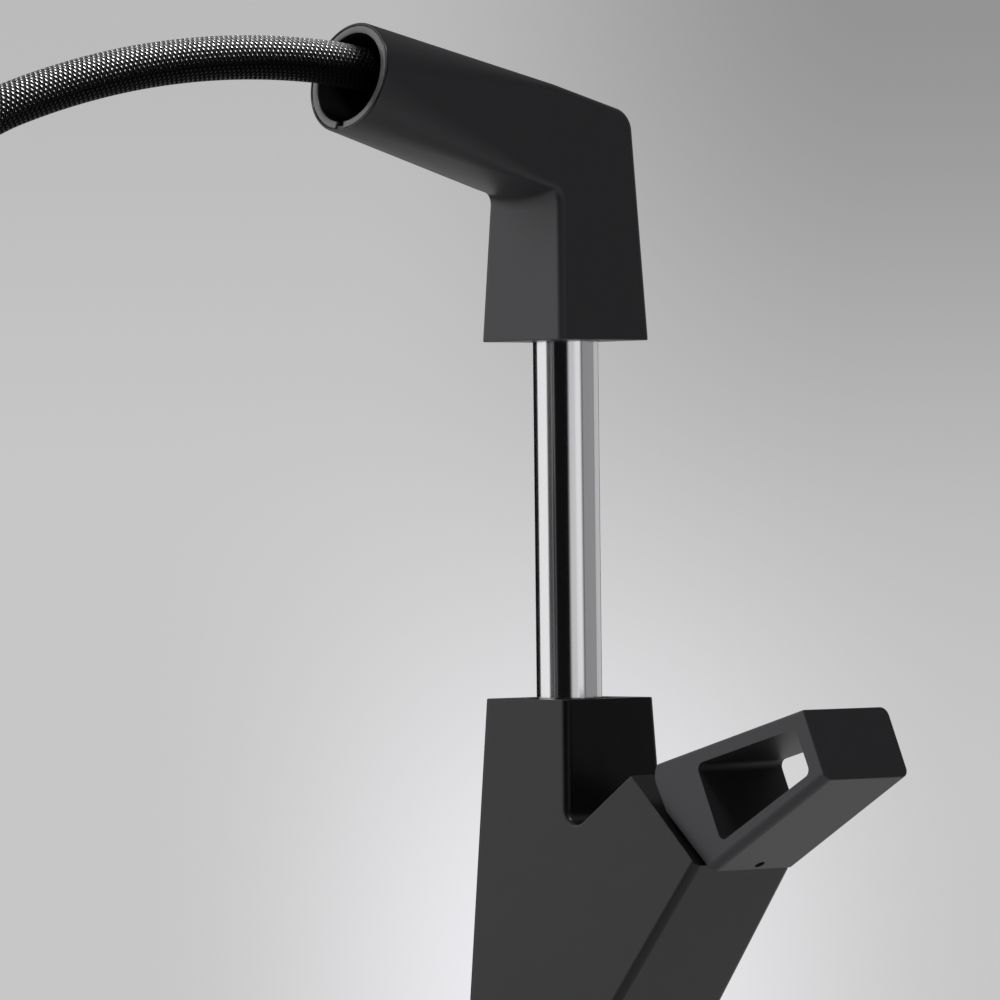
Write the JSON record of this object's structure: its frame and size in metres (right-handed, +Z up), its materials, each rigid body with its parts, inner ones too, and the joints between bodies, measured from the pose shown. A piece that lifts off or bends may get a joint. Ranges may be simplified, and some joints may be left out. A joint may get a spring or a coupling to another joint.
{
  "type": "kitchen faucet",
  "caption": "Matte black single-lever kitchen faucet with a height-adjustable chrome stem and a pull-out spray on a braided hose.",
  "frame": {"origin": "centre of the body's square foot, on the worktop", "axes": "+Z up along the column and the stem; -Y where the spout points; +X where the lever's branch leans"},
  "size_m": [0.168, 0.3489, 0.4296],
  "materials": {
    "black_coat": "matte powder coat on a brass casting",
    "polished_chrome": "mirror polish",
    "hose_braid": "woven nylon over a rubber tube",
    "seal_rubber": "smooth",
    "clamp_rubber": "matt",
    "zinc_steel": "zinc plated",
    "spring_steel": "oiled",
    "stainless": "turned",
    "plain_brass": "machined",
    "black_brass": "matte black coat on brass",
    "bearing_plastic": "moulded acetal",
    "dark_ring": "moulded",
    "cartridge_plastic": "moulded",
    "disc_ceramic": null,
    "spray_black": "matte moulded shell",
    "core_grey": "moulded",
    "face_grey": "fine texture",
    "nozzle_soft": "soft silicone"
  },
  "bodies": {
    "body": {"mixer_body": "black_coat", "base_seal": "seal_rubber", "clamp_rubber_washer": "clamp_rubber", "clamp_steel_washer": "zinc_steel", "fixing_nut": "plain_brass", "guide_bush": "bearing_plastic", "wiper_ring": "seal_rubber", "gland_ring": "black_brass", "port_seals": "seal_rubber", "cartridge_housing": "cartridge_plastic", "fixed_disc": "disc_ceramic", "cartridge_nut": "plain_brass"},
    "stem": {"stem_tube": "polished_chrome", "slide_collar": "bearing_plastic", "brake_ring": "seal_rubber", "stem_circlips": "spring_steel"},
    "spout": {"spout_elbow": "black_coat", "spout_screw": "stainless", "swivel_bush": "bearing_plastic", "dock_ring": "dark_ring", "hose_inner": "hose_braid", "hose": "hose_braid", "hose_nut": "black_brass"},
    "spray": {"hose_washer": "seal_rubber", "spray_shell": "spray_black", "spray_core": "core_grey", "check_valve": "core_grey", "spray_face": "face_grey", "spray_nozzles": "nozzle_soft", "aerator": "face_grey", "button_spring": "spring_steel"},
    "diverter_button": {"diverter_button": "spray_black"},
    "rotor": {"cartridge_rotor": "cartridge_plastic", "pivot_pin": "stainless"},
    "moving_disc": {"moving_disc": "disc_ceramic"},
    "lever": {"spindle": "plain_brass", "lever": "black_coat", "lever_screw": "stainless"}
  },
  "joints": [
    {"name": "stem_lift", "type": "slide", "parent": "body", "child": "stem", "axis": [0, 0, 1], "range_m": [-0.118, 0]},
    {"name": "spout_swivel", "type": "hinge", "parent": "stem", "child": "spout", "pos_m": [0, 0, 0.2712], "axis": [0, 0, 1], "range_deg": [-60, 60]},
    {"name": "spray_swivel", "type": "hinge", "parent": "spout", "child": "spray", "pos_m": [0, -0.3, 0.2], "axis": [0, 0, 1], "continuous": true},
    {"name": "diverter_press", "type": "slide", "parent": "spray", "child": "diverter_button", "axis": [0, 1, 0], "range_m": [0, 0.0022], "stiffness_N_per_m": 900, "springref_m": -0.0015, "deforming": ["button_spring"]},
    {"name": "lever_turn", "type": "hinge", "parent": "body", "child": "rotor", "pos_m": [0.068, 0, 0.1133], "axis": [0.6691, 0, 0.7431], "range_deg": [-45, 45]},
    {"name": "lever_lift", "type": "hinge", "parent": "rotor", "child": "lever", "pos_m": [0.07201, 0, 0.11776], "axis": [0, -1, 0], "range_deg": [0, 20]},
    {"name": "disc_travel", "type": "slide", "parent": "rotor", "child": "moving_disc", "axis": [0.7431, 0, -0.6691], "range_m": [0, 0.0046]}
  ],
  "couplings": [
    {"joint": "disc_travel", "follows": "lever_lift", "m_per_rad": 0.0123}
  ]
}
